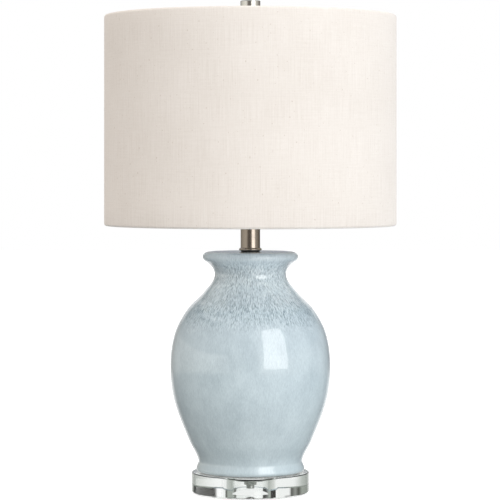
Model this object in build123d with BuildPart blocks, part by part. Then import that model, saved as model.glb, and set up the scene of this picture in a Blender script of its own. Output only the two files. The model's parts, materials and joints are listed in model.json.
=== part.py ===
from build123d import *
from math import asin, cos, radians, sin
import os

# A table lamp that comes apart the way the real one does: a glazed ceramic vase on a clear crystal disc,
# all clamped on one threaded pipe; a turned neck, a harp with its saddle, a lamp socket and a bulb;
# and a drum shade on a spider, held down by a finial. The lamp's axis is +Z and the table is at z = 0.

# ---- driving dimensions, millimetres ----

fit = 0.1  # radial play between pieces that screw or turn in one another
rest_gap = 0.3  # air left between two pieces that move apart

# clear base
bumper_height = 2.0
bumper_radius = 5.0
bumper_circle = 62.0
bumper_taper = 8.0
crystal_radius = 76.2
crystal_thickness = 25.4
crystal_edge = 0.8
counterbore_radius = 23.5
counterbore_depth = 18.0
pipe_clearance = 0.4  # radial room round the pipe in the glass and the neck washer

# pipe and the hardware that clamps the stack
pipe_radius = 5.1
pipe_bore = 3.5
pipe_foot = 8.0
clamp_hole = pipe_radius + fit
nut_radius = 8.25
nut_height = 4.8
nut_easing = 0.4
washer_radius = 19.0
washer_thickness = 1.6
lock_washer_radius = 8.0
lock_washer_thickness = 1.0
lock_washer_rim = 1.2  # how far the teeth stand out past the washer's own ring
lock_teeth = 10
lock_tooth_length = 2.8
lock_tooth_width = 2.0

# ceramic vase
gasket_thickness = 0.8
gasket_outer = 66.5
gasket_inner = 57.0
vase_height = 284.3
vase_wall = 6.0
vase_floor = 7.0
vase_hole = 6.1
vase_shoulder_fill = 2.0  # how much lower the hollow's shoulder sits than the outside's
foot_radius = 70.4
foot_round = 3.5
waist_radius = 67.6
waist_height = 14.5
belly_radius = 104.0
belly_height = 138.5
throat_radius = 46.5
throat_height = 255.3
lip_radius = 62.3
lip_round = 6.3

# cord inlet at the back of the foot
inlet_height = 17.5
inlet_bore = 3.2
inlet_barrel = 4.8
inlet_head_radius = 6.0
inlet_head_length = 6.5
inlet_head_easing = 0.7
inlet_lip_length = 3.5
inlet_relief = 0.5  # how much wider the bore is behind its lip
inlet_seat_depth = 0.7  # how far the head is let into the narrowest part of the foot
inlet_tail = 3.0  # how far the barrel runs on past the vase's wall

# neck
neck_radius = 12.7
neck_wall = 0.9
neck_length = 48.7
neck_washer_thickness = 1.5
neck_washer_inset = 0.6
collar_radius = 14.85
collar_height = 3.3
neck_cap_radius = 13.4
neck_cap_height = 3.0
neck_cap_round = 1.2
spigot_length = 4.0

# harp and saddle
strip = 1.5
saddle_width = 16.0
saddle_bend = 3.0
saddle_taper_foot = 1.0  # height above the strip at which the arms start to narrow
saddle_taper_top = 2.0  # height below the ledge at which they stop
saddle_arm_width = 9.0
tongue_width = 3.4
tongue_length = 11.3
saddle_arm_height = 15.7
ferrule_centre = 28.0
ferrule_radius = 4.5
ferrule_bore = 3.6
ferrule_length = 13.0
ferrule_round = 0.5
tongue_offset = 2.7  # outer face of each tongue from its ferrule's centre
ledge_play = 0.1
harp_wire = 1.8
harp_leg = 27.2
harp_reach = 56.0
harp_height = 229.0
harp_lift = 0.2  # foot of the wire above the saddle's ledge
harp_leg_height = 45.0
harp_flare_height = 95.0
harp_shoulder_drop = 40.5
harp_shoulder_reach = 30.0
harp_bends = [40, 60, 60, 40]
stud_radius = 3.1
stud_boss = 5.4
stud_base = 6.5
stud_length = 9.1
stud_sunk = 3.2  # how far the stud's base reaches below the harp wire's centre
stud_easing = 0.6
wire_depth = 3.3  # centre of the harp wire below the stud's base face

# socket and switch
socket_radius = 17.0
socket_height = 44.0
socket_sheet = 0.6
socket_cap_height = 16.5
socket_neck_radius = 8.2
socket_neck_height = 7.0
socket_neck_sheet = 0.8
socket_flare_height = 10.0
socket_rim_height = 11.6
socket_rim = 0.8  # how far the cap's rim stands out past the shell
shell_lap = 4.0  # how deep the shell sits in the cap
shell_slot = 2.8
sleeve_slot = 3.2
sleeve_gap = 0.8
sleeve_thickness = 0.7
set_screw_height = 3.2
set_screw_radius = 1.6
set_screw_length = 4.6
driver_slot_depth = 0.8
screw_shell_radius = 13.9
switch_height = 25.5
contact_height = 8.7  # the bulb's tip above the switch shaft
switch_shaft = 1.6
switch_shaft_end = 9.0  # how far the shaft stands out past the shell
knob_gap = 5.0
knob_taper = 3.0
knob_bore_depth = 5.2
flute_radius = 1.0
flute_offset = 0.5
knob_radius = 5.6
knob_length = 13.0
knob_flutes = 12

# bulb
bulb_cap_radius = 13.0
bulb_cap_height = 21.0
bulb_radius = 30.0
bulb_length = 108.0
bulb_neck = 13.6
thread_pitch = 3.63
thread_depth = 0.7
thread_turns = 4
thread_start = 2.0  # height of the lowest ridge above the cap's foot
cap_wall = 1.6
cap_throat = 10.65
tip_radius = 4.6
tip_thickness = 1.0
tip_round = 0.6
tip_gap = 0.05
insulator_tip_radius = 5.2
insulator_radius = 10.6
insulator_height = 3.4
glass_wall = 1.0
glass_tail = 4.0  # how deep the glass sits in the cap

# shade
shade_radius = 189.5
shade_bottom = 347.0
shade_height = 271.4
linen_thickness = 1.0
liner_thickness = 1.0
ring_wire = 1.6
ring_inset = 2.2
ring_gap = 0.3
spider_wire = 1.6
spider_flat = 16.0  # length of each arm that lies level beside the hub
spider_bend = 20.0
spider_gap = 0.1
spider_arm_angles = (90, 210, 330)
hub_radius = 11.0
hub_thickness = 1.5

# finial
finial_radius = 13.05
finial_foot_radius = 8.5
finial_foot_height = 2.6
finial_barrel = 35.5
finial_dome = 2.0
finial_foot_easing = 0.8
finial_top_easing = 0.5
insert_radius = 5.4
insert_length = 10.8
insert_sunk = 0.3
insert_headroom = 0.2

# ---- heights of the stack, worked up from the table ----

crystal_bottom = bumper_height
crystal_top = crystal_bottom + crystal_thickness
clamp_face = crystal_bottom + counterbore_depth
vase_bottom = crystal_top + gasket_thickness
vase_top = vase_bottom + vase_height
collar_bottom = vase_top + neck_washer_thickness
neck_bottom = collar_bottom + collar_height
neck_top = neck_bottom + neck_length
saddle_bottom = neck_top + neck_cap_height
saddle_top = saddle_bottom + strip
ledge_top = saddle_bottom + saddle_arm_height
saddle_nut_height = 3.0
socket_bottom = saddle_top + saddle_nut_height
shell_bottom = socket_bottom + socket_cap_height - shell_lap
shell_top = shell_bottom + socket_height
switch_z = socket_bottom + switch_height
contact_z = switch_z + contact_height
harp_top = saddle_bottom + harp_height
hub_bottom = harp_top + rest_gap
hub_top = hub_bottom + hub_thickness
finial_bottom = hub_top + rest_gap
shade_top = shade_bottom + shade_height

os.makedirs("parts", exist_ok=True)


def save(piece, label):
    """Label a finished piece and write it to its own STEP file."""
    piece.part.label = label
    export_step(piece.part, f"parts/{label}.step")


def radial_plane(angle):
    """The upright plane through the lamp's axis that faces across the given bearing."""
    turn = radians(angle)
    return Plane(origin=(0, 0, 0), x_dir=(cos(turn), sin(turn), 0), z_dir=(sin(turn), -cos(turn), 0))


def ring_piece(label, outer, inner, bottom, height):
    """A plain flat ring or tube about the lamp's axis."""
    with BuildPart() as ring:
        with BuildSketch(Plane.XY.offset(bottom)):
            Circle(outer)
            Circle(inner, mode=Mode.SUBTRACT)
        extrude(amount=height)
    save(ring, label)


# ---- clear base and its clamp ----

with BuildPart() as bumper_feet:
    with BuildSketch(Plane.XY):
        with PolarLocations(bumper_circle, 4, start_angle=45):
            Circle(bumper_radius)
    extrude(amount=bumper_height, taper=bumper_taper)
save(bumper_feet, "bumper_feet")

with BuildPart() as crystal_base:
    with BuildSketch(Plane.XY.offset(crystal_bottom)):
        Circle(crystal_radius)
    extrude(amount=crystal_thickness)
    chamfer(crystal_base.edges().filter_by(GeomType.CIRCLE), length=crystal_edge)
    with Locations(Plane(origin=(0, 0, crystal_bottom), z_dir=(0, 0, -1))):
        CounterBoreHole(
            pipe_radius + pipe_clearance,
            counterbore_radius,
            counterbore_depth,
            crystal_thickness,
        )
save(crystal_base, "crystal_base")

washer_bottom = clamp_face - washer_thickness
ring_piece("base_washer", washer_radius, clamp_hole, washer_bottom, washer_thickness)

lock_washer_bottom = washer_bottom - lock_washer_thickness
with BuildPart() as lock_washer:
    with BuildSketch(Plane.XY.offset(lock_washer_bottom)):
        Circle(lock_washer_radius - lock_washer_rim)
        with PolarLocations(lock_washer_radius - lock_tooth_length / 2, lock_teeth):
            Rectangle(lock_tooth_length, lock_tooth_width)
        Circle(clamp_hole, mode=Mode.SUBTRACT)
    extrude(amount=lock_washer_thickness)
save(lock_washer, "lock_washer")


def hex_nut(label, bottom, height):
    """A hexagon nut on the pipe, with its corners eased."""
    with BuildPart() as nut:
        with BuildSketch(Plane.XY.offset(bottom)):
            RegularPolygon(nut_radius, 6)
            Circle(clamp_hole, mode=Mode.SUBTRACT)
        extrude(amount=height)
        chamfer(nut.edges().filter_by(Axis.Z), length=nut_easing)
    save(nut, label)


hex_nut("base_nut", lock_washer_bottom - nut_height, nut_height)
pipe_top = socket_bottom + socket_neck_height
ring_piece("threaded_pipe", pipe_radius, pipe_bore, pipe_foot, pipe_top - pipe_foot)

# ---- ceramic vase ----

ring_piece("foot_gasket", gasket_outer, gasket_inner, crystal_top, gasket_thickness)

# Wall points between the named radii, as (radius, height above the vase's foot).
flank = [(79.6, 40.0), (98.8, 92.0)]
shoulder = [(97.8, 180.0), (80.9, 211.2), (60.6, 232.0)]
inlet_z = vase_bottom + inlet_height
inlet_seat = waist_radius - inlet_seat_depth
lip_centre = (lip_radius - lip_round, vase_height - lip_round)
lip_start = (
    lip_centre[0] + lip_round * cos(radians(-60)),
    lip_centre[1] + lip_round * sin(radians(-60)),
)

with BuildPart() as ceramic_body:
    with BuildSketch(Plane(origin=(0, 0, vase_bottom), x_dir=(1, 0, 0), z_dir=(0, -1, 0))):
        with BuildLine():
            floor_line = Line((vase_hole, 0), (foot_radius - foot_round, 0))
            foot_curve = ThreePointArc(
                floor_line @ 1,
                (foot_radius - foot_round * (1 - cos(radians(45))), foot_round * (1 - sin(radians(45)))),
                (foot_radius, foot_round),
            )
            foot_wall = Spline(
                foot_curve @ 1,
                (waist_radius, waist_height),
                tangents=[(0, 1), (0.2, 1)],
            )
            body_wall = Spline(
                foot_wall @ 1,
                *flank,
                (belly_radius, belly_height),
                *shoulder,
                (throat_radius, throat_height),
                tangents=[(0.2, 1), (0, 1)],
            )
            under_lip = Spline(body_wall @ 1, lip_start, tangents=[(0, 1), (0.87, 0.5)])
            lip_curve = ThreePointArc(
                lip_start,
                (lip_centre[0] + lip_round, lip_centre[1]),
                (lip_centre[0], vase_height),
            )
            top_line = Line(lip_curve @ 1, (vase_hole, vase_height))
            Line(top_line @ 1, floor_line @ 0)
        make_face()
        with BuildLine():
            hollow_floor = Line((0, vase_floor), (waist_radius - vase_wall, vase_floor))
            hollow_foot = Line(hollow_floor @ 1, (waist_radius - vase_wall, waist_height))
            hollow_wall = Spline(
                hollow_foot @ 1,
                *[(radius - vase_wall, height) for radius, height in flank],
                (belly_radius - vase_wall, belly_height),
                *[(radius - vase_wall, height - vase_shoulder_fill) for radius, height in shoulder],
                (throat_radius - vase_wall, throat_height),
                tangents=[(0.2, 1), (0, 1)],
            )
            hollow_throat = Line(hollow_wall @ 1, (throat_radius - vase_wall, vase_height - vase_wall))
            hollow_top = Line(hollow_throat @ 1, (0, vase_height - vase_wall))
            Line(hollow_top @ 1, hollow_floor @ 0)
        make_face(mode=Mode.SUBTRACT)
    revolve(axis=Axis.Z)
    with Locations(Plane(origin=(0, crystal_radius, inlet_z), z_dir=(0, 1, 0))):
        Hole(inlet_barrel + fit, depth=crystal_radius / 2)
        Hole(inlet_head_radius + 2 * fit, depth=crystal_radius - inlet_seat)
save(ceramic_body, "ceramic_body")

# The bushing is turned about the inlet's own axis: (distance along +Y, height) from the back of its barrel.
bushing_back = inlet_seat - vase_wall - inlet_tail
bushing_front = inlet_seat + inlet_head_length
bushing_lip = bushing_front - inlet_lip_length
with BuildPart() as cord_bushing:
    with BuildSketch(Plane.YZ):
        with BuildLine():
            Polyline(
                (bushing_back, inlet_z + inlet_bore + inlet_relief),
                (bushing_back, inlet_z + inlet_barrel),
                (inlet_seat, inlet_z + inlet_barrel),
                (inlet_seat, inlet_z + inlet_head_radius),
                (bushing_front - inlet_head_easing, inlet_z + inlet_head_radius),
                (bushing_front, inlet_z + inlet_head_radius - inlet_head_easing),
                (bushing_front, inlet_z + inlet_bore),
                (bushing_lip, inlet_z + inlet_bore),
                (bushing_lip, inlet_z + inlet_bore + inlet_relief),
                close=True,
            )
        make_face()
    revolve(axis=Axis((0, 0, inlet_z), (0, 1, 0)))
save(cord_bushing, "cord_bushing")

# ---- neck ----

ring_piece(
    "neck_washer",
    neck_radius - neck_washer_inset,
    pipe_radius + pipe_clearance,
    vase_top,
    neck_washer_thickness,
)

with BuildPart() as neck_collar:
    with BuildSketch(Plane.XZ):
        with BuildLine():
            bead = collar_radius - collar_height / 2
            bead_bottom = Line((clamp_hole, collar_bottom), (bead, collar_bottom))
            bead_curve = ThreePointArc(
                bead_bottom @ 1,
                (collar_radius, collar_bottom + collar_height / 2),
                (bead, neck_bottom),
            )
            Polyline(
                bead_curve @ 1,
                (neck_radius - neck_wall - fit, neck_bottom),
                (neck_radius - neck_wall - fit, neck_bottom + spigot_length),
                (clamp_hole, neck_bottom + spigot_length),
                bead_bottom @ 0,
            )
        make_face()
    revolve(axis=Axis.Z)
save(neck_collar, "neck_collar")

ring_piece("neck_tube", neck_radius, neck_radius - neck_wall, neck_bottom, neck_length)

with BuildPart() as neck_cap:
    with BuildSketch(Plane.XY.offset(neck_top - spigot_length)):
        Circle(neck_radius - neck_wall - fit)
    extrude(amount=spigot_length)
    with BuildSketch(Plane.XY.offset(neck_top)):
        Circle(neck_cap_radius)
    extrude(amount=neck_cap_height)
    fillet(neck_cap.edges().group_by(Axis.Z)[-1], radius=neck_cap_round)
    with Locations((0, 0, saddle_bottom)):
        Hole(clamp_hole)
save(neck_cap, "neck_cap")

# ---- harp saddle ----

tongue_outer = ferrule_centre + tongue_offset
tongue_top = ledge_top + tongue_length
taper_foot = saddle_top + saddle_taper_foot
taper_top = ledge_top - saddle_taper_top

with BuildPart() as harp_saddle:
    with BuildSketch(Plane.XZ):
        with BuildLine():
            saddle_line = FilletPolyline(
                (-tongue_outer, tongue_top),
                (-tongue_outer, saddle_bottom),
                (tongue_outer, saddle_bottom),
                (tongue_outer, tongue_top),
                radius=saddle_bend,
            )
            offset(saddle_line, amount=strip, side=Side.LEFT)
        make_face()
    extrude(amount=saddle_width / 2, both=True)
    with BuildSketch(Plane.YZ):
        with BuildLine():
            Polyline(
                (-saddle_width / 2, saddle_bottom),
                (saddle_width / 2, saddle_bottom),
                (saddle_width / 2, taper_foot),
                (saddle_arm_width / 2, taper_top),
                (saddle_arm_width / 2, ledge_top),
                (tongue_width / 2, ledge_top),
                (tongue_width / 2, tongue_top),
                (-tongue_width / 2, tongue_top),
                (-tongue_width / 2, ledge_top),
                (-saddle_arm_width / 2, ledge_top),
                (-saddle_arm_width / 2, taper_top),
                (-saddle_width / 2, taper_foot),
                close=True,
            )
        make_face()
    extrude(amount=2 * tongue_outer, both=True, mode=Mode.INTERSECT)
    with BuildSketch(Plane.XY.offset(ledge_top - strip)):
        with Locations((-ferrule_centre, 0), (ferrule_centre, 0)):
            Circle(ferrule_radius - ledge_play)
        with Locations((-2 * tongue_outer, 0), (2 * tongue_outer, 0)):
            Rectangle(2 * tongue_outer, saddle_width, mode=Mode.SUBTRACT)
    extrude(amount=strip)
    with Locations((0, 0, saddle_top)):
        Hole(clamp_hole)
save(harp_saddle, "harp_saddle")

hex_nut("saddle_nut", saddle_top, saddle_nut_height)

# ---- harp ----

harp_foot = ledge_top + harp_lift
wire_top = harp_top - wire_depth
harp_points = [
    (harp_leg, harp_foot),
    (harp_leg, harp_foot + harp_leg_height),
    (harp_reach, harp_foot + harp_flare_height),
    (harp_reach, wire_top - harp_shoulder_drop),
    (harp_shoulder_reach, wire_top),
]

with BuildPart() as harp_loop:
    with BuildLine(Plane.XZ):
        FilletPolyline(
            *harp_points,
            *[(-across, height) for across, height in reversed(harp_points)],
            radius=harp_bends + harp_bends[::-1],
        )
    with BuildSketch(Plane.XY.offset(harp_foot)):
        with Locations((harp_leg, 0)):
            Circle(harp_wire)
    sweep()
save(harp_loop, "harp_loop")

with BuildPart() as harp_stud:
    with BuildSketch(Plane.XY.offset(wire_top - stud_sunk)):
        Circle(stud_base)
    extrude(amount=wire_depth + stud_sunk)
    with BuildSketch(Plane.XY.offset(harp_top)):
        Circle(stud_boss)
    extrude(amount=hub_thickness)
    with BuildSketch(Plane.XY.offset(harp_top)):
        Circle(stud_radius)
    extrude(amount=stud_length + 2 * rest_gap + hub_thickness)
    chamfer(harp_stud.edges().group_by(Axis.Z)[-1], length=stud_easing)
    with Locations(Location((0, 0, wire_top), (0, 90, 0))):
        Cylinder(harp_wire + fit / 2, 4 * stud_base, mode=Mode.SUBTRACT)
save(harp_stud, "harp_stud")

for side, across in (("left", -ferrule_centre), ("right", ferrule_centre)):
    with BuildPart() as ferrule:
        with BuildSketch(Plane.XY.offset(ledge_top + rest_gap)):
            with Locations((across, 0)):
                Circle(ferrule_radius)
                Circle(ferrule_bore, mode=Mode.SUBTRACT)
        extrude(amount=ferrule_length)
        rim = ferrule.edges().group_by(Axis.Z)[-1].sort_by(SortBy.RADIUS)[-1]
        fillet(rim, radius=ferrule_round)
    save(ferrule, f"ferrule_{side}")

# ---- socket ----

socket_mouth = socket_bottom + socket_cap_height
neck_shelf = socket_bottom + socket_neck_height
screw_z = socket_bottom + set_screw_height
with BuildPart() as socket_cap:
    with BuildSketch(Plane.XZ):
        with BuildLine():
            Polyline(
                (clamp_hole, socket_bottom),
                (socket_neck_radius, socket_bottom),
                (socket_neck_radius, neck_shelf - socket_neck_sheet),
                (socket_radius - 0.4, socket_bottom + socket_flare_height),
                (socket_radius + socket_rim, socket_bottom + socket_rim_height),
                (socket_radius + socket_rim, socket_mouth),
                (socket_radius + fit, socket_mouth),
                (socket_radius + fit, shell_bottom - 0.2),
                (socket_radius - 1.2, socket_bottom + socket_flare_height + socket_neck_sheet),
                (socket_neck_radius - socket_neck_sheet, neck_shelf),
                (clamp_hole, neck_shelf),
                close=True,
            )
        make_face()
    revolve(axis=Axis.Z)
    with Locations(Plane(origin=(0, socket_neck_radius + fit, screw_z), z_dir=(0, 1, 0))):
        Hole(set_screw_radius + fit, depth=socket_neck_radius - pipe_radius + 1)
save(socket_cap, "socket_cap")

screw_tip = pipe_radius + 0.3
with BuildPart() as set_screw:
    with BuildSketch(Plane(origin=(0, screw_tip, screw_z), z_dir=(0, 1, 0))):
        Circle(set_screw_radius)
    extrude(amount=set_screw_length)
    with BuildSketch(Plane(origin=(0, screw_tip + set_screw_length, screw_z), z_dir=(0, 1, 0))):
        Rectangle(0.6, 2 * set_screw_radius + 0.2)
    extrude(amount=-driver_slot_depth, mode=Mode.SUBTRACT)
save(set_screw, "set_screw")


def slotted_tube(label, outer, inner, bottom, top, slot):
    """A tube about the lamp's axis, slotted from below at the front for the switch shaft."""
    with BuildPart() as tube:
        with BuildSketch(Plane.XY.offset(bottom)):
            Circle(outer)
            Circle(inner, mode=Mode.SUBTRACT)
        extrude(amount=top - bottom)
        with BuildSketch(Plane.XZ):
            with Locations((0, switch_z)):
                Circle(slot)
            with Locations((0, (switch_z + bottom) / 2 - 1)):
                Rectangle(2 * slot, switch_z - bottom + 2)
        extrude(amount=outer + 1, mode=Mode.SUBTRACT)
    save(tube, label)


slotted_tube(
    "socket_shell",
    socket_radius,
    socket_radius - socket_sheet,
    shell_bottom,
    shell_top,
    shell_slot,
)
sleeve_radius = socket_radius - sleeve_gap
slotted_tube(
    "socket_sleeve",
    sleeve_radius,
    sleeve_radius - sleeve_thickness,
    shell_bottom + 1,
    shell_top - 1,
    sleeve_slot,
)

interior_bottom = switch_z - 9.5
interior_top = contact_z + 1.8
interior_radius = 14.4
interior_rim = 3.0
contact_well_radius = 8.2
contact_well_depth = 4.8
terminal_flat = 12.0
with BuildPart() as socket_interior:
    with BuildSketch(Plane.XY.offset(interior_bottom)):
        Circle(interior_radius)
        Rectangle(2 * terminal_flat, 3 * interior_radius, mode=Mode.INTERSECT)
    extrude(amount=interior_top - interior_rim - interior_bottom)
    with BuildSketch(Plane.XY.offset(interior_top - interior_rim)):
        Circle(interior_radius)
    extrude(amount=interior_rim)
    with Locations((0, 0, interior_top)):
        Hole(contact_well_radius, depth=contact_well_depth)
    with Locations(Plane(origin=(0, -interior_radius - 1, switch_z), z_dir=(0, -1, 0))):
        Hole(switch_shaft + fit, depth=interior_radius + 1)
save(socket_interior, "socket_interior")

terminal_radius = 3.2
terminal_head = 2.0
with BuildPart() as terminal_screws:
    for side in (-1, 1):
        face = side * terminal_flat
        with BuildSketch(Plane(origin=(face, 0, switch_z), z_dir=(side, 0, 0))):
            Circle(terminal_radius)
        extrude(amount=terminal_head)
        head = side * (terminal_flat + terminal_head)
        with BuildSketch(Plane(origin=(head, 0, switch_z), z_dir=(side, 0, 0))):
            Rectangle(0.9, 2 * terminal_radius + 0.6)
        extrude(amount=-driver_slot_depth, mode=Mode.SUBTRACT)
save(terminal_screws, "terminal_screws")

ring_piece(
    "screw_shell",
    screw_shell_radius,
    screw_shell_radius - 0.5,
    interior_top,
    shell_top - 0.5 - interior_top,
)

contact_floor = interior_top - contact_well_depth
contact_sheet = 0.6
contact_end = contact_z - rest_gap - contact_sheet
with BuildPart() as centre_contact:
    with BuildSketch(Plane.YZ):
        with BuildLine():
            tongue = Polyline(
                (-7.0, contact_floor),
                (-3.0, contact_floor),
                (0.5, contact_end),
                (4.0, contact_end),
            )
            offset(tongue, amount=contact_sheet, side=Side.LEFT)
        make_face()
    extrude(amount=2.5, both=True)
save(centre_contact, "centre_contact")

# ---- switch ----

with BuildPart() as switch_shaft_rod:
    with BuildSketch(Plane(origin=(0, -1.0, switch_z), z_dir=(0, -1, 0))):
        Circle(switch_shaft)
    extrude(amount=socket_radius + switch_shaft_end)
save(switch_shaft_rod, "switch_shaft")

knob_start = socket_radius + knob_gap
with BuildPart() as switch_knob:
    with BuildSketch(Plane(origin=(0, -knob_start, switch_z), z_dir=(0, -1, 0))):
        Circle(knob_radius)
        with PolarLocations(knob_radius + flute_offset, knob_flutes):
            Circle(flute_radius, mode=Mode.SUBTRACT)
    extrude(amount=knob_length, taper=knob_taper)
    with Locations(Plane(origin=(0, -knob_start, switch_z), z_dir=(0, 1, 0))):
        Hole(switch_shaft + 0.02, depth=knob_bore_depth)
save(switch_knob, "switch_knob")

# ---- bulb ----

cap_bottom = contact_z + insulator_height
cap_top = cap_bottom + bulb_cap_height
with BuildPart() as bulb_contact:
    with BuildSketch(Plane.XY.offset(contact_z)):
        Circle(tip_radius)
    extrude(amount=tip_thickness)
    fillet(bulb_contact.edges().group_by(Axis.Z)[0], radius=tip_round)
save(bulb_contact, "bulb_contact")

insulator_bottom = contact_z + tip_thickness + tip_gap
insulator_top = cap_bottom + 1.0
with BuildPart() as bulb_insulator:
    with BuildSketch(Plane.XZ):
        with BuildLine():
            Polyline(
                (0, insulator_bottom),
                (insulator_tip_radius, insulator_bottom),
                (insulator_radius, cap_bottom),
                (insulator_radius, insulator_top),
                (0, insulator_top),
                close=True,
            )
        make_face()
    revolve(axis=Axis.Z)
save(bulb_insulator, "bulb_insulator")

thread_root = bulb_cap_radius - thread_depth
thread_foot = cap_bottom + thread_start
with BuildPart() as bulb_cap:
    with BuildSketch(Plane.XZ):
        with BuildLine():
            Polyline(
                (bulb_cap_radius - cap_wall, cap_top),
                (bulb_cap_radius - cap_wall, thread_foot),
                (cap_throat, cap_bottom + 1.2),
                (cap_throat, cap_bottom),
                (thread_root, cap_bottom + 1.0),
                (thread_root, thread_foot),
            )
            for turn in range(thread_turns):
                ridge = thread_foot + turn * thread_pitch
                ThreePointArc(
                    (thread_root, ridge),
                    (bulb_cap_radius, ridge + thread_pitch / 2),
                    (thread_root, ridge + thread_pitch),
                )
            Polyline(
                (thread_root, thread_foot + thread_turns * thread_pitch),
                (thread_root, cap_top),
                (bulb_cap_radius - cap_wall, cap_top),
            )
        make_face()
    revolve(axis=Axis.Z)
save(bulb_cap, "bulb_cap")

bulb_top = contact_z + bulb_length
bulb_centre = bulb_top - bulb_radius
neck_z = cap_top + 2.0


def glass_outline(inset):
    """Half of the bulb's outline, moved inwards by the given thickness."""
    stem = bulb_cap_radius - cap_wall - 0.2 - inset
    ball = bulb_radius - inset
    tail = cap_top - glass_tail + inset
    with BuildLine() as outline:
        Polyline(
            (0, bulb_centre + ball),
            (0, tail),
            (stem, tail),
            (stem, cap_top + 0.2),
            (bulb_neck - inset, neck_z),
        )
        Spline((bulb_neck - inset, neck_z), (ball, bulb_centre), tangents=[(0.15, 1), (0, 1)])
        ThreePointArc(
            (ball, bulb_centre),
            (ball * cos(radians(45)), bulb_centre + ball * sin(radians(45))),
            (0, bulb_centre + ball),
        )
    return outline.line


with BuildPart() as bulb_glass:
    with BuildSketch(Plane.XZ):
        make_face(glass_outline(0).edges())
        make_face(glass_outline(glass_wall).edges(), mode=Mode.SUBTRACT)
    revolve(axis=Axis.Z)
save(bulb_glass, "bulb_glass")

# ---- shade ----

ring_centre = shade_radius - linen_thickness - liner_thickness - ring_wire - ring_gap
upper_ring_z = shade_top - ring_inset
lower_ring_z = shade_bottom + ring_inset

ring_piece("spider_hub", hub_radius, stud_boss + fit, hub_bottom, hub_thickness)

arm_z = hub_bottom + hub_thickness / 2
arm_start = hub_radius + spider_gap
with BuildPart() as spider_arms:
    for arm_angle in spider_arm_angles:
        upright = radial_plane(arm_angle)
        outward = upright.x_dir
        with BuildLine(upright):
            FilletPolyline(
                (arm_start, arm_z),
                (hub_radius + spider_flat, arm_z),
                (ring_centre - ring_wire - spider_gap, upper_ring_z),
                radius=spider_bend,
            )
        with BuildSketch(Plane(origin=outward * arm_start + Vector(0, 0, arm_z), z_dir=outward)):
            Circle(spider_wire)
        sweep()
save(spider_arms, "spider_arms")

for label, height in (("shade_top_ring", upper_ring_z), ("shade_bottom_ring", lower_ring_z)):
    with BuildPart() as wire_ring:
        with BuildSketch(Plane.XZ):
            with Locations((ring_centre, height)):
                Circle(ring_wire)
        revolve(axis=Axis.Z)
    save(wire_ring, label)

liner_radius = shade_radius - linen_thickness
ring_piece("shade_liner", liner_radius, liner_radius - liner_thickness, shade_bottom, shade_height)
ring_piece("shade_cover", shade_radius, liner_radius, shade_bottom, shade_height)

# ---- finial ----

insert_bottom = finial_bottom + insert_sunk
insert_seat = insert_bottom + insert_length + insert_headroom
ring_piece("finial_insert", insert_radius, stud_radius + fit, insert_bottom, insert_length)

barrel_bottom = finial_bottom + finial_foot_height
barrel_top = barrel_bottom + finial_barrel
dome_rim = finial_radius - finial_top_easing
dome_radius = (dome_rim**2 + finial_dome**2) / (2 * finial_dome)
dome_half = asin(dome_rim / dome_radius)
dome_centre = barrel_top + finial_dome - dome_radius
with BuildPart() as finial:
    with BuildSketch(Plane.XZ):
        with BuildLine():
            Polyline(
                (0, barrel_top + finial_dome),
                (0, insert_seat),
                (insert_radius + fit, insert_seat),
                (insert_radius + fit, finial_bottom),
                (finial_foot_radius, finial_bottom),
                (finial_foot_radius, barrel_bottom),
                (finial_radius - finial_foot_easing, barrel_bottom),
                (finial_radius, barrel_bottom + finial_foot_easing),
                (finial_radius, barrel_top - finial_top_easing),
                (dome_rim, barrel_top),
            )
            ThreePointArc(
                (dome_rim, barrel_top),
                (dome_radius * sin(dome_half / 2), dome_centre + dome_radius * cos(dome_half / 2)),
                (0, barrel_top + finial_dome),
            )
        make_face()
    revolve(axis=Axis.Z)
save(finial, "finial")
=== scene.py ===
import json
from math import atan, cos, degrees, hypot, pi, radians, sin

import bmesh
import bpy
from mathutils import Matrix, Vector


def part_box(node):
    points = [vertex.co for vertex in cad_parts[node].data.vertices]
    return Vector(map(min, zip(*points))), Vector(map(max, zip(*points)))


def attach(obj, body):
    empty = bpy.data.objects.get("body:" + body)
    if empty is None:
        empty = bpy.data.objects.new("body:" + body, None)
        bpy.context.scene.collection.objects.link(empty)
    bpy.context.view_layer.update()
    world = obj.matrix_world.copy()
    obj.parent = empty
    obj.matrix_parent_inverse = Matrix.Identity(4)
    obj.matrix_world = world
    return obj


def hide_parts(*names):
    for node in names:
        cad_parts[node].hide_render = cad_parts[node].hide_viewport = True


# A table lamp standing on its table at z = 0, its axis on +Z. Everything is in metres.

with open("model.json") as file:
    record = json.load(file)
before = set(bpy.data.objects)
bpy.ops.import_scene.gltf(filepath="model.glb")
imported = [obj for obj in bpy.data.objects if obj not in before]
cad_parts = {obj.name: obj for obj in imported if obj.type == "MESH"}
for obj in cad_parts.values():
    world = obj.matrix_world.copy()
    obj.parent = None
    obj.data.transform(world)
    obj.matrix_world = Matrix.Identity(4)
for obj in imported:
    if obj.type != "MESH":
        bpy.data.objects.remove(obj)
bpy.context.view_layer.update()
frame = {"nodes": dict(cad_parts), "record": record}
nodes = frame["nodes"]
mm = 0.001


def low(node):
    """The height of a part's lowest point."""
    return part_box(node)[0][2]


def high(node):
    """The height of a part's highest point."""
    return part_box(node)[1][2]


def radius_of(node):
    """The largest radius of a part that is round about the lamp's axis."""
    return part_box(node)[1][0]


# ---- finishes ----


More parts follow.
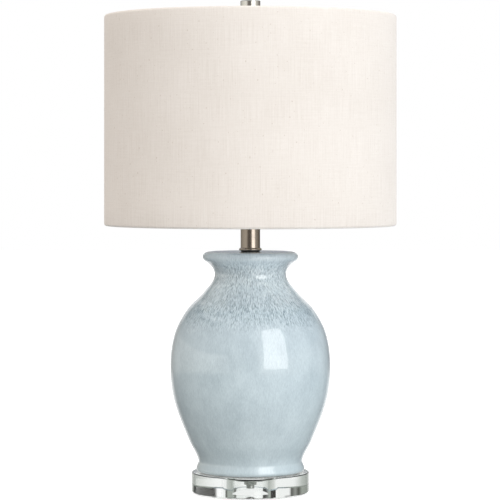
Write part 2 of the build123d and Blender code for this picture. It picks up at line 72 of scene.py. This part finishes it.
class Nodes:
    """A node tree being filled in, with short ways to add and join nodes."""

    def __init__(self, tree):
        self.tree = tree

    def add(self, kind, inputs=None, **settings):
        node = self.tree.nodes.new("ShaderNode" + kind)
        for setting, value in settings.items():
            setattr(node, setting, value)
        for socket, value in (inputs or {}).items():
            self.give(node.inputs[socket], value)
        return node

    def give(self, socket, value):
        if isinstance(value, bpy.types.NodeSocket):
            self.tree.links.new(value, socket)
        else:
            socket.default_value = value

    def maths(self, operation, first, second=0.0, limit=False):
        node = self.add("Math", {0: first, 1: second}, operation=operation, use_clamp=limit)
        return node.outputs[0]

    def span(self, value, start, end, new_start=0.0, new_end=1.0, kind="SMOOTHSTEP"):
        """value carried from one range to another, held at both ends."""
        inputs = {"Value": value, "From Min": start, "From Max": end, "To Min": new_start, "To Max": new_end}
        return self.add("MapRange", inputs, interpolation_type=kind).outputs[0]

    def ramp(self, value, stops, kind="LINEAR"):
        """A colour for each value, from (place, colour) stops."""
        node = self.add("ValToRGB", {0: value})
        ramp = node.color_ramp
        ramp.interpolation = kind
        while len(ramp.elements) < len(stops):
            ramp.elements.new(1.0)
        for element, (place, colour) in zip(ramp.elements, stops):
            element.position = place
            element.color = (*colour, 1.0)
        return node.outputs[0]

    def mix(self, amount, first, second, blend="MIX"):
        node = self.add("Mix", {0: amount}, data_type="RGBA", blend_type=blend)
        self.give(node.inputs[6], first if isinstance(first, bpy.types.NodeSocket) else (*first, 1.0))
        self.give(node.inputs[7], second if isinstance(second, bpy.types.NodeSocket) else (*second, 1.0))
        return node.outputs[2]


class Finish(Nodes):
    """A material being made on one shader."""

    def __init__(self, name, settings):
        self.material = bpy.data.materials.new(name)
        self.material.use_nodes = True
        super().__init__(self.material.node_tree)
        self.shader = self.tree.nodes["Principled BSDF"]
        for socket, value in settings.items():
            self.shader.inputs[socket].default_value = value
        self.place = self.add("TexCoord").outputs["Object"]

    def stretched(self, scale, source=None):
        """The place on the piece, scaled along each axis."""
        return self.add("Mapping", {"Vector": source or self.place, "Scale": scale}).outputs[0]

    def down_the_wall(self, radius, drop):
        """The place as a bearing round the lamp's axis, at one radius, and a height scaled by drop."""
        bearing = self.add("VectorMath", {0: self.stretched((1, 1, 0))}, operation="NORMALIZE").outputs[0]
        inputs = {0: bearing, 1: (radius, radius, 0), 2: self.stretched((0, 0, drop))}
        return self.add("VectorMath", inputs, operation="MULTIPLY_ADD").outputs[0]

    def noise(self, scale, detail=2.0, roughness=0.5, source=None):
        inputs = {"Vector": source or self.place, "Scale": scale, "Detail": detail, "Roughness": roughness}
        return self.add("TexNoise", inputs).outputs["Fac"]

    def colour(self, value):
        self.give(self.shader.inputs["Base Color"], value)

    def gloss(self, value):
        self.give(self.shader.inputs["Roughness"], value)

    def bump(self, height, depth, strength=1.0):
        """Relief of the given depth in metres."""
        node = self.add("Bump", {"Height": height, "Distance": depth, "Strength": strength})
        self.give(self.shader.inputs["Normal"], node.outputs[0])


def speckled(name, colour, shift, roughness, grain, depth, settings=None):
    """A finish whose colour, gloss and surface vary a little over a fine grain."""
    finish = Finish(name, settings or {})
    fine = finish.noise(grain, 4.0)
    broad = finish.noise(grain / 12, 2.0)
    darker = tuple(channel * (1 - shift) for channel in colour)
    lighter = tuple(min(1.0, channel * (1 + shift)) for channel in colour)
    grains = finish.maths("ADD", fine, finish.maths("SUBTRACT", broad, 0.5))
    finish.colour(finish.mix(grains, darker, lighter))
    finish.gloss(finish.span(fine, 0.3, 0.7, roughness * 0.8, roughness * 1.25))
    finish.bump(fine, depth)
    return finish.material


def brushed(name, colour, roughness, around=True):
    """Metal with fine lines left by turning it, around the lamp's axis, or by drawing it lengthways."""
    finish = Finish(name, {"Metallic": 1.0})
    lines = finish.noise(1.0, 3.0, source=finish.stretched((60, 60, 5000) if around else (4000, 4000, 80)))
    cloud = finish.noise(90.0, 2.0)
    darker = tuple(channel * 0.86 for channel in colour)
    finish.colour(finish.mix(finish.maths("MULTIPLY", lines, cloud), colour, darker))
    streaks = finish.span(lines, 0.3, 0.7, roughness * 0.8, roughness * 1.3)
    finish.gloss(finish.maths("ADD", streaks, finish.span(cloud, 0.4, 0.7, -0.02, 0.03)))
    finish.bump(lines, 0.004 * mm, 0.2)
    return finish.material


def blue_glaze():
    """Pale blue-grey glaze that has run in fine streaks, thicker and darker under the lip. Its colour is also
    scaled by height: lighter in the throat and on the lip, partly the glaze's own paler colour and partly a painted
    highlight, and darker on the lip's flat top, where the neck stands, as painted shade.
    """
    finish = Finish(
        "pale_blue_glaze",
        {"IOR": 1.5, "Specular IOR Level": 0.2, "Coat Weight": 1.0, "Coat Roughness": 0.02, "Coat IOR": 1.8},
    )
    height = finish.add("SeparateXYZ", {0: finish.place}).outputs[2]
    runs = finish.noise(980.0, 3.0, 0.6, finish.down_the_wall(80 * mm, 0.22))
    threads = finish.noise(1900.0, 2.0, 0.5, finish.down_the_wall(80 * mm, 0.18))
    clouds = finish.noise(40.0, 3.0, 0.55, finish.stretched((1, 1, 0.6)))
    foot = low("ceramic_body")
    rim = high("ceramic_body")
    band_middle = foot + 219 * mm
    band_reach = 42 * mm
    off_band = finish.maths("ABSOLUTE", finish.maths("SUBTRACT", height, band_middle))
    band = finish.span(off_band, 4 * mm, band_reach, 1.0, 0.0)
    throat = finish.span(height, rim - 58 * mm, rim - 38 * mm, 0.0, 1.15)
    throat = finish.maths("MULTIPLY", throat, finish.span(height, rim - 20 * mm, rim - 9 * mm, 1.0, 0.15))
    streaky = finish.maths("MAXIMUM", band, throat)
    amount = finish.maths("ADD", finish.maths("MULTIPLY", streaky, 1.9), 0.30)
    fine_share = finish.maths("MULTIPLY", threads, 0.38)
    streaks = finish.maths("ADD", finish.maths("MULTIPLY", runs, 0.62), fine_share)
    swing = finish.maths("MULTIPLY", finish.maths("SUBTRACT", streaks, 0.5), amount)
    shade = finish.maths("ADD", finish.maths("MULTIPLY", swing, 2.4), 0.5)
    shade = finish.maths("ADD", shade, finish.maths("MULTIPLY", finish.maths("SUBTRACT", clouds, 0.5), 0.40))
    body = finish.ramp(
        shade,
        [
            (0.0, (0.22, 0.29, 0.34)),
            (0.35, (0.46, 0.56, 0.62)),
            (0.6, (0.60, 0.71, 0.77)),
            (1.0, (0.74, 0.83, 0.87)),
        ],
    )
    # Brightness of the glaze by height. The dip near 0.735 is the darker streak band. Lower down, the wall is only
    # a little darker at the foot.
    tone = finish.ramp(
        finish.span(height, foot, rim, kind="LINEAR"),
        [
            (0.0, (0.96, 0.96, 0.94)),
            (0.16, (1.02, 1.01, 0.98)),
            (0.45, (1.0, 1.0, 0.985)),
            (0.66, (0.96, 0.96, 0.96)),
            (0.735, (0.84, 0.875, 0.895)),
            (0.78, (0.94, 0.95, 0.96)),
            # From the throat up over the lip the glaze is lighter: partly its own paler colour, partly a painted
            # highlight.
            (0.85, (1.14, 1.13, 1.12)),
            (0.93, (1.22, 1.19, 1.17)),
            (0.975, (1.26, 1.22, 1.20)),
            # On the lip's flat top, where the neck stands, the glaze is darker: painted shade.
            (0.99, (0.95, 0.95, 0.97)),
            (1.0, (0.66, 0.67, 0.70)),
        ],
    )
    finish.colour(finish.mix(1.0, body, tone, "MULTIPLY"))
    finish.gloss(finish.span(streaks, 0.35, 0.65, 0.28, 0.42))
    peel = finish.noise(140.0, 2.0)
    finish.bump(finish.maths("ADD", peel, finish.maths("MULTIPLY", runs, 0.02)), 0.02 * mm, 0.35)
    finish.give(finish.shader.inputs["Coat Normal"], finish.shader.inputs["Normal"].links[0].from_socket)
    return finish.material


def clear_crystal():
    """Clear polished glass with a trace of green and the faintest wipe marks."""
    finish = Finish("clear_crystal", {"Transmission Weight": 1.0, "IOR": 1.5, "Roughness": 0.0})
    wipes = finish.noise(30.0, 3.0, 0.6, finish.stretched((1, 1, 3)))
    finish.colour(finish.mix(wipes, (0.955, 0.975, 0.965), (0.985, 0.995, 0.99)))
    finish.gloss(finish.span(wipes, 0.55, 0.8, 0.0, 0.03))
    return finish.material


def frosted_glass():
    """White frosted bulb glass."""
    finish = Finish("frosted_glass", {"Transmission Weight": 0.25, "IOR": 1.5, "Sheen Weight": 0.1})
    powder = finish.noise(1800.0, 3.0)
    cloud = finish.noise(45.0, 2.0)
    finish.colour(finish.mix(cloud, (0.88, 0.87, 0.84), (0.95, 0.945, 0.93)))
    finish.gloss(finish.span(powder, 0.3, 0.7, 0.34, 0.5))
    finish.bump(powder, 0.03 * mm)
    return finish.material


def oatmeal_linen():
    """Off-white linen: a plain weave with slubs that run up the cloth, and small dark flecks."""
    finish = Finish("oatmeal_linen", {"Sheen Weight": 0.12, "Sheen Roughness": 0.5, "Specular IOR Level": 0.2})
    cloth = finish.add("UVMap", uv_map="cloth").outputs[0]
    parts = finish.add("SeparateXYZ", {0: cloth})
    threads_a_metre = 1350.0
    warp = finish.maths("SINE", finish.maths("MULTIPLY", parts.outputs[0], 2 * pi * threads_a_metre))
    weft = finish.maths("SINE", finish.maths("MULTIPLY", parts.outputs[1], 2 * pi * threads_a_metre))
    checks = finish.maths("MULTIPLY", warp, weft)
    slubs = finish.noise(1.0, 2.0, 0.5, finish.stretched((900, 22, 1), cloth))
    cross_slubs = finish.noise(1.0, 2.0, 0.5, finish.stretched((26, 800, 1), cloth))
    mottle = finish.noise(260.0, 3.0, 0.6, cloth)
    patches = finish.noise(14.0, 2.0, 0.5, cloth)
    fleck_field = finish.noise(330.0, 1.0, 0.4, finish.stretched((1, 0.8, 1), cloth))
    flecks = finish.span(fleck_field, 0.70, 0.78)
    lines = finish.maths("ADD", finish.maths("MULTIPLY", slubs, 0.5), finish.maths("MULTIPLY", cross_slubs, 0.25))
    tone = finish.maths("ADD", lines, finish.maths("MULTIPLY", mottle, 0.25))
    tone = finish.maths("ADD", tone, finish.maths("MULTIPLY", finish.maths("SUBTRACT", patches, 0.5), 0.25))
    base = finish.ramp(
        tone,
        [(0.25, (0.73, 0.675, 0.62)), (0.5, (0.80, 0.75, 0.70)), (0.75, (0.86, 0.815, 0.77))],
    )
    finish.colour(finish.mix(finish.maths("MULTIPLY", flecks, 0.5), base, (0.55, 0.47, 0.40)))
    finish.gloss(finish.span(mottle, 0.3, 0.7, 0.82, 0.95))
    relief = finish.maths("ADD", finish.maths("MULTIPLY", checks, 0.35), finish.maths("MULTIPLY", slubs, 1.2))
    finish.bump(relief, 0.12 * mm, 0.5)
    return finish.material


def white_styrene():
    """The smooth white sheet behind the linen, with a little of the weave telegraphing through."""
    finish = Finish("white_styrene", {"Subsurface Weight": 0.15, "Subsurface Radius": (0.004, 0.003, 0.002)})
    ripple = finish.noise(35.0, 2.0, 0.5, finish.stretched((1, 1, 0.2)))
    grain = finish.noise(900.0, 2.0)
    finish.colour(finish.mix(ripple, (0.86, 0.845, 0.81), (0.91, 0.90, 0.87)))
    finish.gloss(finish.span(grain, 0.3, 0.7, 0.45, 0.6))
    finish.bump(finish.maths("ADD", grain, finish.maths("MULTIPLY", ripple, 3.0)), 0.05 * mm)
    return finish.material


def insulating_card():
    """Brown pressed card with pale fibres."""
    finish = Finish("insulating_card", {"Specular IOR Level": 0.25})
    fibres = finish.noise(500.0, 5.0, 0.7, finish.stretched((1, 1, 0.5)))
    finish.colour(finish.mix(fibres, (0.30, 0.20, 0.13), (0.52, 0.39, 0.27)))
    finish.gloss(finish.span(fibres, 0.3, 0.7, 0.75, 0.95))
    finish.bump(fibres, 0.08 * mm)
    return finish.material


finishes = {
    "glaze": blue_glaze(),
    "crystal": clear_crystal(),
    # This nickel is darker than the finial's: partly a duller brushed finish, partly painted shade for the neck,
    # which stands in the shadow under the shade.
    "nickel": brushed("brushed_nickel_painted_shade", (0.41, 0.355, 0.305), 0.16),
    "polished_nickel": brushed("polished_nickel", (0.88, 0.865, 0.83), 0.10),
    "nickel_wire": brushed("nickel_plated_wire", (0.66, 0.635, 0.59), 0.24, around=False),
    "zinc_steel": speckled(
        "zinc_plated_steel", (0.60, 0.60, 0.585), 0.14, 0.32, 700.0, 0.03 * mm, {"Metallic": 1.0}
    ),
    "brass": speckled("bright_brass", (0.80, 0.60, 0.28), 0.10, 0.22, 500.0, 0.02 * mm, {"Metallic": 1.0}),
    "bulb_metal": brushed("rolled_aluminium", (0.76, 0.76, 0.75), 0.28),
    "frosted_glass": frosted_glass(),
    "linen": oatmeal_linen(),
    "styrene": white_styrene(),
    "white_wire": speckled("white_coated_wire", (0.87, 0.86, 0.83), 0.04, 0.35, 400.0, 0.05 * mm),
    "clear_rubber": speckled(
        "clear_soft_rubber",
        (0.80, 0.82, 0.81),
        0.05,
        0.4,
        300.0,
        0.04 * mm,
        {"Transmission Weight": 0.6, "IOR": 1.42},
    ),
    "dark_rubber": speckled("black_rubber", (0.022, 0.021, 0.020), 0.3, 0.6, 600.0, 0.05 * mm),
    "black_plastic": speckled("black_plastic", (0.025, 0.025, 0.026), 0.25, 0.35, 700.0, 0.04 * mm),
    "knob_plastic": speckled("brown_moulding", (0.055, 0.036, 0.026), 0.3, 0.3, 500.0, 0.04 * mm),
    "phenolic": speckled("black_phenolic", (0.030, 0.027, 0.025), 0.3, 0.45, 500.0, 0.05 * mm),
    "sleeve_card": insulating_card(),
}
slot_of = {part["node"]: part["material_slot"] for part in frame["record"]["subparts"]}
for node, part in nodes.items():
    part.material_slots[0].material = finishes[slot_of[node]]


# ---- shapes ----


def arc(centre, radius, start, end, steps=6):
    """Points of a round run in an outline, from one bearing to another in degrees."""
    turns = [radians(start + (end - start) * step / steps) for step in range(steps + 1)]
    return [(centre[0] + radius * cos(turn), centre[1] + radius * sin(turn)) for turn in turns]


def curve_through(points, start, end, steps=9):
    """Points on a smooth line through the given ones that leaves and arrives in the given directions."""
    knots = [Vector(point) for point in points]
    lengths = [(after - before).length for before, after in zip(knots, knots[1:])]
    ways = [Vector(start).normalized()]
    for before, after, knot in zip(knots, knots[2:], range(1, len(knots) - 1)):
        ways.append((after - before) / (lengths[knot - 1] + lengths[knot]))
    ways.append(Vector(end).normalized())
    line = [tuple(knots[0])]
    for first, second, way_out, way_in, length in zip(knots, knots[1:], ways, ways[1:], lengths):
        for step in range(1, steps + 1):
            t = step / steps
            point = (
                first * (2 * t**3 - 3 * t**2 + 1)
                + way_out * length * (t**3 - 2 * t**2 + t)
                + second * (3 * t**2 - 2 * t**3)
                + way_in * length * (t**3 - t**2)
            )
            line.append(tuple(point))
    return line


def finished(name, mesh, body, slot, replaced=()):
    """Turns a bmesh into a smooth-shaded piece with crisp edges, in its finish and on its body."""
    for face in mesh.faces:
        face.smooth = True
    for edge in mesh.edges:
        edge.smooth = edge.calc_face_angle(0.0) < radians(32)
    data = bpy.data.meshes.new(name)
    mesh.to_mesh(data)
    mesh.free()
    piece = bpy.data.objects.new(name, data)
    bpy.context.scene.collection.objects.link(piece)
    data.materials.append(finishes[slot])
    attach(piece, body)
    if replaced:
        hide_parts(*replaced)
    return piece


def spun(outline, steps=180, closed=True):
    """A bmesh turned about the lamp's axis from an outline of (radius, height) points."""
    mesh = bmesh.new()
    points = [mesh.verts.new((radius, 0, height)) for radius, height in outline]
    ends = points[1:] + points[:1] if closed else points[1:]
    edges = [mesh.edges.new(pair) for pair in zip(points, ends)]
    bmesh.ops.spin(
        mesh, geom=points + edges, cent=(0, 0, 0), axis=(0, 0, 1), angle=2 * pi, steps=steps, use_merge=True
    )
    bmesh.ops.remove_doubles(mesh, verts=mesh.verts, dist=1e-6)
    bmesh.ops.recalc_face_normals(mesh, faces=mesh.faces)
    return mesh


def turned(name, outline, body, slot, replaced=(), steps=180, closed=True):
    """A finished piece turned about the lamp's axis."""
    return finished(name, spun(outline, steps, closed), body, slot, replaced)


def eased_tube(outer, inner, bottom, top, easing):
    """The outline of a tube with rounded outer rims. A ring close to each rim keeps its wall shaded straight."""
    return [
        *arc((outer - easing, bottom + easing), easing, -90, 0, 4),
        (outer, bottom + 2 * easing),
        (outer, top - 2 * easing),
        *arc((outer - easing, top - easing), easing, 0, 90, 4),
        (inner, top),
        (inner, bottom),
    ]


# ---- vase and its base ----


def cut_bore(piece, radius, start, end, height):
    """Bores a round hole through a wall along +Y at the given height."""
    mesh = bmesh.new()
    along = Matrix.Translation((0, (start + end) / 2, height)) @ Matrix.Rotation(pi / 2, 4, "X")
    bmesh.ops.create_cone(
        mesh, cap_ends=True, segments=64, radius1=radius, radius2=radius, depth=end - start, matrix=along
    )
    data = bpy.data.meshes.new("bore")
    mesh.to_mesh(data)
    mesh.free()
    tool = bpy.data.objects.new("bore", data)
    bpy.context.scene.collection.objects.link(tool)
    cut = piece.modifiers.new("bore", "BOOLEAN")
    cut.object = tool
    cut.operation = "DIFFERENCE"
    bored = bpy.data.meshes.new_from_object(piece.evaluated_get(bpy.context.evaluated_depsgraph_get()))
    piece.modifiers.clear()
    piece.data = bored
    bpy.data.objects.remove(tool)


def make_vase():
    """The glazed vase: a hollow turned wall with a rolled lip, bored for the cord at the back of its foot."""
    foot = low("ceramic_body")
    rim = high("ceramic_body")
    wall = 6 * mm
    floor = 7 * mm
    hole = 6.1 * mm
    foot_radius = 70.4 * mm
    foot_round = 3.5 * mm
    waist = (67.6 * mm, foot + 14.5 * mm)
    belly = (radius_of("ceramic_body"), foot + 138.5 * mm)
    throat = (46.5 * mm, foot + 255.3 * mm)
    flank = [(79.6 * mm, foot + 40 * mm), (98.8 * mm, foot + 92 * mm)]
    shoulder = [(97.8 * mm, foot + 180 * mm), (80.9 * mm, foot + 211.2 * mm), (60.6 * mm, foot + 232 * mm)]
    lip_round = 6.3 * mm
    lip = (56.0 * mm, rim - lip_round)
    lip_curve = arc(lip, lip_round, -60, 90, 14)
    outside = [
        (hole, foot),
        *arc((foot_radius - foot_round, foot + foot_round), foot_round, -90, 0),
        *curve_through([(foot_radius, foot + foot_round), waist], (0, 1), (0.2, 1))[1:],
        *curve_through([waist, *flank, belly, *shoulder, throat], (0.2, 1), (0, 1))[1:],
        *curve_through([throat, lip_curve[0]], (0, 1), (0.87, 0.5))[1:-1],
        *lip_curve,
        (hole, rim),
    ]
    inner = [(radius - wall, height) for radius, height in [waist, *flank, belly, *shoulder, throat]]
    inside = [
        (hole, rim - wall),
        (throat[0] - wall, rim - wall),
        *reversed(curve_through(inner, (0.2, 1), (0, 1), 4)),
        (waist[0] - wall, foot + floor),
        (hole, foot + floor),
    ]
    vase = turned("glazed_vase", outside + inside, "lamp_body", "glaze", ["ceramic_body"], steps=224)
    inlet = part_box("cord_bushing")
    height = (inlet[0][2] + inlet[1][2]) / 2
    cut_bore(vase, inlet[1][0] + 0.2 * mm, inlet[0][1] - 4 * mm, inlet[1][1], height)


def make_disc():
    """The clear disc, with the recess under it that holds the clamping nut."""
    bottom = low("crystal_base")
    top = high("crystal_base")
    edge = radius_of("crystal_base")
    recess = 23.5 * mm
    ceiling = high("base_washer")
    rod_hole = 5.5 * mm
    chamfer = 0.8 * mm
    outline = [
        (rod_hole, ceiling),
        (recess, ceiling),
        (recess, bottom),
        (edge - chamfer, bottom),
        (edge, bottom + chamfer),
        (edge, top - chamfer),
        (edge - chamfer, top),
        (rod_hole, top),
    ]
    turned("crystal_disc", outline, "lamp_body", "crystal", ["crystal_base"], steps=256)


def make_neck():
    """The neck's sleeve and the beaded collar at its foot."""
    foot = low("neck_collar")
    tube = radius_of("neck_tube")
    bead = (low("neck_tube") - foot) / 2
    collar = radius_of("neck_collar")
    wall = 0.9 * mm
    pipe = 5.2 * mm
    spigot = tube - wall - 0.1 * mm
    outline = [
        (pipe, foot),
        *arc((collar - bead, foot + bead), bead, -90, 90, 12),
        (spigot, foot + 2 * bead),
        (spigot, high("neck_collar")),
        (pipe, high("neck_collar")),
    ]
    turned("beaded_collar", outline, "lamp_body", "nickel", ["neck_collar"], steps=128)
    outline = eased_tube(tube, tube - wall, low("neck_tube"), high("neck_tube"), 0.3 * mm)
    turned("neck_sleeve", outline, "lamp_body", "nickel", ["neck_tube"], steps=128)


def make_finial():
    """The cylinder finial, slightly domed, on a narrower shank."""
    foot = low("finial")
    top = high("finial")
    barrel = radius_of("finial")
    shank = 8.5 * mm
    shank_height = 2.6 * mm
    dome = 2.0 * mm
    easing = 0.5 * mm
    socket = 5.5 * mm
    ceiling = high("finial_insert") + 0.2 * mm
    rim = barrel - easing
    dome_radius = (rim**2 + dome**2) / (2 * dome)
    half = degrees(atan(rim / (dome_radius - dome)))
    outline = [
        (0, ceiling),
        (socket, ceiling),
        (socket, foot),
        (shank - 0.3 * mm, foot),
        (shank, foot + 0.3 * mm),
        (shank, foot + shank_height),
        *arc((barrel - 0.8 * mm, foot + shank_height + 0.8 * mm), 0.8 * mm, -90, 0),
        (barrel, foot + shank_height + 1.2 * mm),
        (barrel, top - dome - 2 * easing),
        *arc((rim, top - dome - easing), easing, 0, 60, 3),
        *arc((0, top - dome_radius), dome_radius, 90 - half, 90, 10),
    ]
    turned("nickel_finial", outline, "finial", "polished_nickel", ["finial"], steps=128, closed=False)


# ---- shade ----


def make_shade_cover():
    """The linen, stretched round the drum, turned in over both rings and lapped over itself at the back."""
    bottom = low("shade_cover")
    top = high("shade_cover")
    outer = radius_of("shade_cover")
    thickness = 0.5 * mm
    face = outer - thickness / 2
    turn = 3.0 * mm
    tuck = 9 * mm
    inner = face - 2 * turn
    lap = 14 * mm
    steps = 360
    rim_drop = 0.4 * mm
    lap_ease = 6 * mm  # how far before the lap the cloth starts to lift
    lap_lift = 0.55 * mm
    turned_in = 6  # outline points from each end to the crest of its turned rim
    outline = [
        (inner, bottom + tuck),
        *arc((face - turn, bottom + turn - rim_drop), turn, 180, 360, 10),
        *[(face, bottom + turn + (top - bottom - 2 * turn) * step / 12) for step in range(1, 12)],
        *arc((face - turn, top - turn + rim_drop), turn, 0, 180, 10),
        (inner, top - tuck),
    ]
    runs = [0.0]
    for before, after in zip(outline, outline[1:]):
        runs.append(runs[-1] + hypot(after[0] - before[0], after[1] - before[1]))
    whole_turn = 2 * pi + lap / face
    mesh = bmesh.new()
    along = mesh.verts.layers.float.new("along")
    seam = pi / 2 - lap / face / 2
    points = [mesh.verts.new((r * cos(seam), r * sin(seam), z)) for r, z in outline]
    edges = [mesh.edges.new(pair) for pair in zip(points, points[1:])]
    for point, run in zip(points, runs):
        point[along] = run
    bmesh.ops.spin(
        mesh, geom=points + edges, cent=(0, 0, 0), axis=(0, 0, 1), angle=whole_turn, steps=steps, use_merge=False
    )
    mesh.verts.index_update()
    cloth = mesh.loops.layers.uv.new("cloth")
    rows = len(outline)
    order = {}
    mesh.verts.ensure_lookup_table()
    for index, vertex in enumerate(mesh.verts):
        order[vertex] = index // rows
    for patch in mesh.faces:
        for loop in patch.loops:
            column = order[loop.vert]
            loop[cloth].uv = (column * whole_turn * face / steps, loop.vert[along])
    for vertex in mesh.verts:
        turned_by = order[vertex] * whole_turn / steps
        over = (turned_by - 2 * pi) * face
        if over > -lap_ease:
            lift = min(1.0, (over + lap_ease) / lap_ease) * lap_lift
            flat = Vector((vertex.co.x, vertex.co.y, 0))
            outwards = 1 if runs[turned_in] < vertex[along] < runs[-turned_in - 1] else -1
            vertex.co += flat.normalized() * lift * outwards
    cover = finished("shade_linen", mesh, "shade", "linen", ["shade_cover"])
    wall = cover.modifiers.new("cloth thickness", "SOLIDIFY")
    wall.thickness = thickness
    wall.offset = 0


# ---- studio ----


def make_studio():
    """A white table, and one large softbox to the right of the camera with a second one that only gloss shows."""
    mesh = bmesh.new()
    bmesh.ops.create_grid(mesh, x_segments=1, y_segments=1, size=9.0)
    data = bpy.data.meshes.new("table")
    mesh.to_mesh(data)
    mesh.free()
    table = bpy.data.objects.new("table", data)
    bpy.context.scene.collection.objects.link(table)
    paint = Finish("white_table", {"Base Color": (0.9, 0.9, 0.9, 1), "Roughness": 0.8, "Emission Strength": 0.62})
    paint.give(paint.shader.inputs["Emission Color"], (1, 1, 1, 1))
    grain = paint.noise(20.0, 2.0)
    paint.colour(paint.mix(grain, (0.89, 0.89, 0.89), (0.91, 0.91, 0.91)))
    data.materials.append(paint.material)
    table.visible_glossy = False
    table.visible_diffuse = False
    table.visible_transmission = False
    table.visible_shadow = False

    bearing, distance, height, width, tall = 36.5, 2.5, 1.31, 1.6, 2.5
    softbox("key_softbox", bearing, distance, height, width, tall, 1.85)
    glint = softbox("softbox_glint", bearing, distance, height, width, tall, 5.2)
    glint.visible_diffuse = False


def softbox(name, bearing, distance, height, width, tall, radiance):
    """A rectangular light that faces the lamp's axis from a bearing, in degrees right of the camera."""
    lamp = bpy.data.lights.new(name, "AREA")
    lamp.shape = "RECTANGLE"
    lamp.size = width
    lamp.size_y = tall
    lamp.energy = radiance * pi * width * tall
    light = bpy.data.objects.new(name, lamp)
    turn = radians(bearing)
    place = Vector((distance * sin(turn), -distance * cos(turn), height))
    aim = Vector((0, 0, height)) - place
    light.matrix_world = Matrix.Translation(place) @ aim.to_track_quat("-Z", "Y").to_matrix().to_4x4()
    bpy.context.scene.collection.objects.link(light)
    return light


def make_room():
    """The room round the lamp: a white backdrop behind it, a dimmer room in front, and bands that metal mirrors."""
    world = bpy.data.worlds.new("studio")
    bpy.context.scene.world = world
    world.use_nodes = True
    room = Nodes(world.node_tree)
    background = room.tree.nodes["Background"]
    way = room.add("TexCoord").outputs["Generated"]
    parts = room.add("SeparateXYZ", {0: way})
    right, back, up = parts.outputs
    bearing = room.maths("ARCTAN2", right, room.maths("MULTIPLY", back, -1.0))
    round_room = room.span(bearing, -pi, pi, kind="LINEAR")
    dark = (0.13, 0.12, 0.11)
    dim = (0.24, 0.22, 0.20)
    slate = (0.36, 0.38, 0.41)
    mirrored = room.ramp(
        round_room,
        [
            (0.0, slate),
            (0.008, slate),
            (0.014, (1.0, 1.0, 1.0)),
            (0.04, (1.0, 1.0, 1.0)),
            (0.07, dim),
            (0.15, (0.50, 0.49, 0.46)),
            (0.23, (0.68, 0.66, 0.60)),
            (0.30, (0.80, 0.78, 0.72)),
            (0.36, (0.86, 0.84, 0.78)),
            (0.40, (0.62, 0.59, 0.54)),
            (0.42, dim),
            (0.50, dark),
            (0.53, (0.5, 0.48, 0.44)),
            (0.545, (0.95, 0.93, 0.88)),
            (0.66, (0.95, 0.93, 0.88)),
            (0.69, (0.66, 0.64, 0.60)),
            (0.75, (0.48, 0.46, 0.42)),
            (0.83, dim),
            (0.94, dark),
            (0.965, (1.0, 1.0, 1.0)),
            (0.986, (1.0, 1.0, 1.0)),
            (0.992, slate),
        ],
    )
    across = room.span(right, -0.9, 0.5)
    walls = room.mix(across, (1.32, 1.23, 1.15), (1.08, 1.09, 1.11))
    ground = room.mix(across, (0.20, 0.22, 0.23), (0.74, 0.75, 0.75))
    lit = room.mix(room.span(up, -0.35, 0.25), ground, walls)
    pale = (0.92, 0.93, 0.92)
    green_grey = (0.33, 0.36, 0.33)
    through_the_top = room.ramp(
        round_room,
        [
            (0.0, pale),
            (0.10, pale),
            (0.14, (0.55, 0.58, 0.55)),
            (0.27, green_grey),
            (0.73, green_grey),
            (0.86, (0.62, 0.64, 0.61)),
            (0.94, pale),
        ],
    )
    through_the_side = room.ramp(
        round_room,
        [
            (0.0, pale),
            (0.084, pale),
            (0.09, (0.07, 0.07, 0.06)),
            (0.105, (0.30, 0.31, 0.29)),
            (0.12, (0.07, 0.07, 0.06)),
            (0.14, (0.36, 0.39, 0.35)),
            (0.27, green_grey),
            (0.73, green_grey),
            (0.80, (0.36, 0.39, 0.35)),
            (0.81, (0.015, 0.014, 0.012)),
            (0.928, (0.03, 0.028, 0.025)),
            (0.934, (1.0, 1.0, 1.0)),
        ],
    )
    refracted = room.mix(room.span(up, -0.02, 0.02), through_the_top, through_the_side)
    off_level = room.maths("ABSOLUTE", room.maths("SUBTRACT", up, 0.03))
    quiet = room.mix(across, (0.08, 0.08, 0.08), (0.55, 0.55, 0.55))
    quiet = room.mix(room.span(back, -0.3, 0.4), quiet, (0.10, 0.10, 0.10))
    quiet = room.mix(room.span(back, 0.80, 0.94), quiet, (1.0, 1.0, 1.0))
    mirrored = room.mix(room.span(off_level, 0.10, 0.17), mirrored, quiet)
    path = room.add("LightPath")
    seen = room.mix(path.outputs["Is Glossy Ray"], lit, mirrored)
    seen = room.mix(path.outputs["Is Transmission Ray"], seen, refracted)
    room.give(background.inputs["Color"], room.mix(path.outputs["Is Camera Ray"], seen, (1.0, 1.0, 1.0)))


def make_camera():
    """A level camera in front of the lamp."""
    scene = bpy.context.scene
    data = bpy.data.cameras.new("camera")
    data.lens = 169.2
    data.sensor_width = 36.0
    data.shift_x = -0.0007
    data.shift_y = -0.1622
    camera = bpy.data.objects.new("camera", data)
    camera.location = (0, -3.0515, 0.42)
    camera.rotation_euler = (radians(90), 0, 0)
    scene.collection.objects.link(camera)
    scene.camera = camera
    scene.view_settings.view_transform = "Standard"


make_camera()
make_room()
make_studio()
make_vase()
make_disc()
make_neck()
make_finial()
make_shade_cover()
